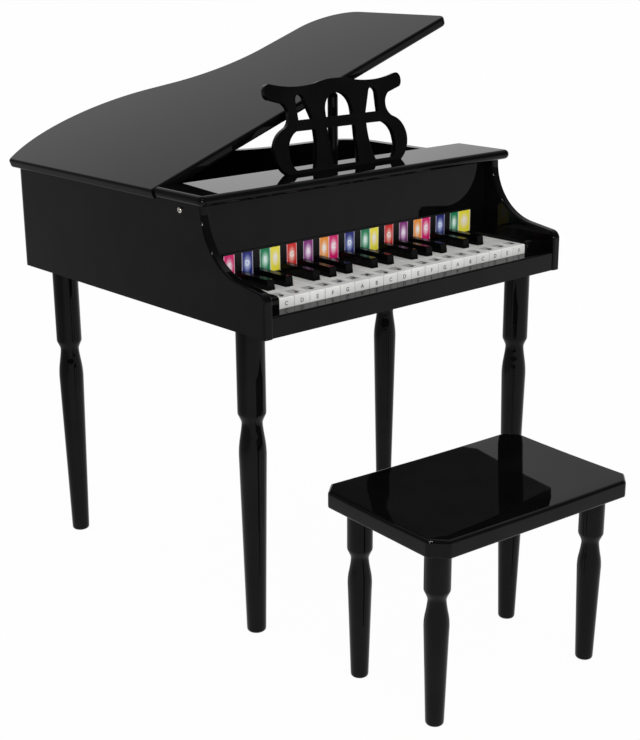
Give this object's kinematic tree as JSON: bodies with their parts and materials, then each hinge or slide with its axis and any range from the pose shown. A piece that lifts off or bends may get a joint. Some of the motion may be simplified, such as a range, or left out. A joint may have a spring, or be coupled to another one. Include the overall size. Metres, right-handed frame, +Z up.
{
  "type": "toy piano",
  "caption": "Child's toy grand piano with turned legs, a propped lid, a fretwork music stand and keys that strike chime rods, with its own bench.",
  "frame": {"origin": "on the floor, in the middle of the space that piano and bench take up", "axes": "+Z up, +Y from the bench towards the tail of the piano, +X to the player's right"},
  "size_m": [0.5096, 0.8148, 0.68],
  "materials": {
    "black_lacquer": "high gloss black lacquer",
    "bare_board": "bare pine",
    "note_card": "printed card",
    "felt": "pressed felt",
    "steel": "drawn steel",
    "nickel": "nickel plate",
    "black_metal": "black paint",
    "cast_bar": "as cast, painted grey",
    "white_key": "satin moulded plastic",
    "black_key": "gloss moulded plastic"
  },
  "bodies": {
    "case": {"balance_rod": "steel", "bent_rim": "black_lacquer", "bottom_board": "black_lacquer", "case_screws": "nickel", "chime_bar": "cast_bar", "chime_rods": "steel", "fallboard": "black_lacquer", "front_rail": "black_lacquer", "hinge_case_leaves": "black_metal", "hinge_pins": "black_metal", "key_blocks": "black_lacquer", "key_felts": "felt", "key_frame": "bare_board", "left_side_panel": "black_lacquer", "leg_back_left": "black_lacquer", "leg_back_right": "black_lacquer", "leg_bolts": "steel", "leg_front_left": "black_lacquer", "leg_front_right": "black_lacquer", "music_stand": "black_lacquer", "note_card": "note_card", "prop_screw": "nickel", "right_side_panel": "black_lacquer", "top_batten": "bare_board", "top_board": "black_lacquer"},
    "lid": {"lid": "black_lacquer", "hinge_lid_leaves": "black_metal"},
    "lid_prop": {"lid_prop": "black_lacquer"},
    "bench": {"bench_seat": "black_lacquer", "bench_legs": "black_lacquer"},
    "key_01_c": {"key_01_c": "white_key"},
    "key_02_c_sharp": {"key_02_c_sharp": "black_key"},
    "key_03_d": {"key_03_d": "white_key"},
    "key_04_d_sharp": {"key_04_d_sharp": "black_key"},
    "key_05_e": {"key_05_e": "white_key"},
    "key_06_f": {"key_06_f": "white_key"},
    "key_07_f_sharp": {"key_07_f_sharp": "black_key"},
    "key_08_g": {"key_08_g": "white_key"},
    "key_09_g_sharp": {"key_09_g_sharp": "black_key"},
    "key_10_a": {"key_10_a": "white_key"},
    "key_11_a_sharp": {"key_11_a_sharp": "black_key"},
    "key_12_b": {"key_12_b": "white_key"},
    "key_13_c": {"key_13_c": "white_key"},
    "key_14_c_sharp": {"key_14_c_sharp": "black_key"},
    "key_15_d": {"key_15_d": "white_key"},
    "key_16_d_sharp": {"key_16_d_sharp": "black_key"},
    "key_17_e": {"key_17_e": "white_key"},
    "key_18_f": {"key_18_f": "white_key"},
    "key_19_f_sharp": {"key_19_f_sharp": "black_key"},
    "key_20_g": {"key_20_g": "white_key"},
    "key_21_g_sharp": {"key_21_g_sharp": "black_key"},
    "key_22_a": {"key_22_a": "white_key"},
    "key_23_a_sharp": {"key_23_a_sharp": "black_key"},
    "key_24_b": {"key_24_b": "white_key"},
    "key_25_c": {"key_25_c": "white_key"},
    "key_26_c_sharp": {"key_26_c_sharp": "black_key"},
    "key_27_d": {"key_27_d": "white_key"},
    "key_28_d_sharp": {"key_28_d_sharp": "black_key"},
    "key_29_e": {"key_29_e": "white_key"},
    "key_30_f": {"key_30_f": "white_key"}
  },
  "joints": [
    {"name": "lid_hinge", "type": "hinge", "parent": "case", "child": "lid", "pos_m": [-0.24368, 0.20074, 0.50015], "axis": [0, -1, 0], "range_deg": [-19.87, 0]},
    {"name": "prop_pivot", "type": "hinge", "parent": "case", "child": "lid_prop", "pos_m": [0.02732, 0.06474, 0.486], "axis": [0, 1, 0], "range_deg": [0, 130]},
    {"name": "bench_slide", "type": "slide", "parent": "case", "child": "bench", "axis": [0, 1, 0], "range_m": [-0.15, 0.09]},
    {"name": "key_01_c_press", "type": "hinge", "parent": "case", "child": "key_01_c", "pos_m": [0.00132, 0.00074, 0.39602], "axis": [1, 0, 0], "range_deg": [0, 3.91]},
    {"name": "key_02_c_sharp_press", "type": "hinge", "parent": "case", "child": "key_02_c_sharp", "pos_m": [0.00132, 0.00074, 0.39602], "axis": [1, 0, 0], "range_deg": [0, 3.91]},
    {"name": "key_03_d_press", "type": "hinge", "parent": "case", "child": "key_03_d", "pos_m": [0.00132, 0.00074, 0.39602], "axis": [1, 0, 0], "range_deg": [0, 3.91]},
    {"name": "key_04_d_sharp_press", "type": "hinge", "parent": "case", "child": "key_04_d_sharp", "pos_m": [0.00132, 0.00074, 0.39602], "axis": [1, 0, 0], "range_deg": [0, 3.91]},
    {"name": "key_05_e_press", "type": "hinge", "parent": "case", "child": "key_05_e", "pos_m": [0.00132, 0.00074, 0.39602], "axis": [1, 0, 0], "range_deg": [0, 3.91]},
    {"name": "key_06_f_press", "type": "hinge", "parent": "case", "child": "key_06_f", "pos_m": [0.00132, 0.00074, 0.39602], "axis": [1, 0, 0], "range_deg": [0, 3.91]},
    {"name": "key_07_f_sharp_press", "type": "hinge", "parent": "case", "child": "key_07_f_sharp", "pos_m": [0.00132, 0.00074, 0.39602], "axis": [1, 0, 0], "range_deg": [0, 3.91]},
    {"name": "key_08_g_press", "type": "hinge", "parent": "case", "child": "key_08_g", "pos_m": [0.00132, 0.00074, 0.39602], "axis": [1, 0, 0], "range_deg": [0, 3.91]},
    {"name": "key_09_g_sharp_press", "type": "hinge", "parent": "case", "child": "key_09_g_sharp", "pos_m": [0.00132, 0.00074, 0.39602], "axis": [1, 0, 0], "range_deg": [0, 3.91]},
    {"name": "key_10_a_press", "type": "hinge", "parent": "case", "child": "key_10_a", "pos_m": [0.00132, 0.00074, 0.39602], "axis": [1, 0, 0], "range_deg": [0, 3.91]},
    {"name": "key_11_a_sharp_press", "type": "hinge", "parent": "case", "child": "key_11_a_sharp", "pos_m": [0.00132, 0.00074, 0.39602], "axis": [1, 0, 0], "range_deg": [0, 3.91]},
    {"name": "key_12_b_press", "type": "hinge", "parent": "case", "child": "key_12_b", "pos_m": [0.00132, 0.00074, 0.39602], "axis": [1, 0, 0], "range_deg": [0, 3.91]},
    {"name": "key_13_c_press", "type": "hinge", "parent": "case", "child": "key_13_c", "pos_m": [0.00132, 0.00074, 0.39602], "axis": [1, 0, 0], "range_deg": [0, 3.91]},
    {"name": "key_14_c_sharp_press", "type": "hinge", "parent": "case", "child": "key_14_c_sharp", "pos_m": [0.00132, 0.00074, 0.39602], "axis": [1, 0, 0], "range_deg": [0, 3.91]},
    {"name": "key_15_d_press", "type": "hinge", "parent": "case", "child": "key_15_d", "pos_m": [0.00132, 0.00074, 0.39602], "axis": [1, 0, 0], "range_deg": [0, 3.91]},
    {"name": "key_16_d_sharp_press", "type": "hinge", "parent": "case", "child": "key_16_d_sharp", "pos_m": [0.00132, 0.00074, 0.39602], "axis": [1, 0, 0], "range_deg": [0, 3.91]},
    {"name": "key_17_e_press", "type": "hinge", "parent": "case", "child": "key_17_e", "pos_m": [0.00132, 0.00074, 0.39602], "axis": [1, 0, 0], "range_deg": [0, 3.91]},
    {"name": "key_18_f_press", "type": "hinge", "parent": "case", "child": "key_18_f", "pos_m": [0.00132, 0.00074, 0.39602], "axis": [1, 0, 0], "range_deg": [0, 3.91]},
    {"name": "key_19_f_sharp_press", "type": "hinge", "parent": "case", "child": "key_19_f_sharp", "pos_m": [0.00132, 0.00074, 0.39602], "axis": [1, 0, 0], "range_deg": [0, 3.91]},
    {"name": "key_20_g_press", "type": "hinge", "parent": "case", "child": "key_20_g", "pos_m": [0.00132, 0.00074, 0.39602], "axis": [1, 0, 0], "range_deg": [0, 3.91]},
    {"name": "key_21_g_sharp_press", "type": "hinge", "parent": "case", "child": "key_21_g_sharp", "pos_m": [0.00132, 0.00074, 0.39602], "axis": [1, 0, 0], "range_deg": [0, 3.91]},
    {"name": "key_22_a_press", "type": "hinge", "parent": "case", "child": "key_22_a", "pos_m": [0.00132, 0.00074, 0.39602], "axis": [1, 0, 0], "range_deg": [0, 3.91]},
    {"name": "key_23_a_sharp_press", "type": "hinge", "parent": "case", "child": "key_23_a_sharp", "pos_m": [0.00132, 0.00074, 0.39602], "axis": [1, 0, 0], "range_deg": [0, 3.91]},
    {"name": "key_24_b_press", "type": "hinge", "parent": "case", "child": "key_24_b", "pos_m": [0.00132, 0.00074, 0.39602], "axis": [1, 0, 0], "range_deg": [0, 3.91]},
    {"name": "key_25_c_press", "type": "hinge", "parent": "case", "child": "key_25_c", "pos_m": [0.00132, 0.00074, 0.39602], "axis": [1, 0, 0], "range_deg": [0, 3.91]},
    {"name": "key_26_c_sharp_press", "type": "hinge", "parent": "case", "child": "key_26_c_sharp", "pos_m": [0.00132, 0.00074, 0.39602], "axis": [1, 0, 0], "range_deg": [0, 3.91]},
    {"name": "key_27_d_press", "type": "hinge", "parent": "case", "child": "key_27_d", "pos_m": [0.00132, 0.00074, 0.39602], "axis": [1, 0, 0], "range_deg": [0, 3.91]},
    {"name": "key_28_d_sharp_press", "type": "hinge", "parent": "case", "child": "key_28_d_sharp", "pos_m": [0.00132, 0.00074, 0.39602], "axis": [1, 0, 0], "range_deg": [0, 3.91]},
    {"name": "key_29_e_press", "type": "hinge", "parent": "case", "child": "key_29_e", "pos_m": [0.00132, 0.00074, 0.39602], "axis": [1, 0, 0], "range_deg": [0, 3.91]},
    {"name": "key_30_f_press", "type": "hinge", "parent": "case", "child": "key_30_f", "pos_m": [0.00132, 0.00074, 0.39602], "axis": [1, 0, 0], "range_deg": [0, 3.91]}
  ],
  "couplings": [
    {"joint": "prop_pivot", "follows": "lid_hinge", "ratio": -6.5}
  ]
}
